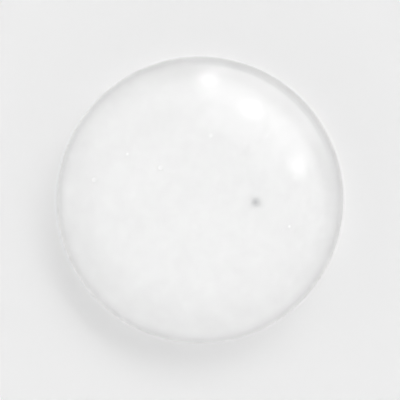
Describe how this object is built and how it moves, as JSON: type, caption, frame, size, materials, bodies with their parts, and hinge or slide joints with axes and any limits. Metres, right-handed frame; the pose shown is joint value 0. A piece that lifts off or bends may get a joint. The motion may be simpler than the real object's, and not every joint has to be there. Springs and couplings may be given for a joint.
{
  "type": "cabinet door bumper",
  "caption": "Clear self-adhesive domed bumper that cushions a cabinet door or drawer where it closes on its frame.",
  "frame": {"origin": "centre of the sticky face on the underside", "axes": "+Z out of the sticky face, through the crown of the dome"},
  "size_m": [0.01, 0.01, 0.0025],
  "materials": {
    "dome": "gloss",
    "adhesive_film": "satin"
  },
  "bodies": {
    "root": {"dome": "dome", "adhesive_film": "adhesive_film"}
  },
  "joints": []
}
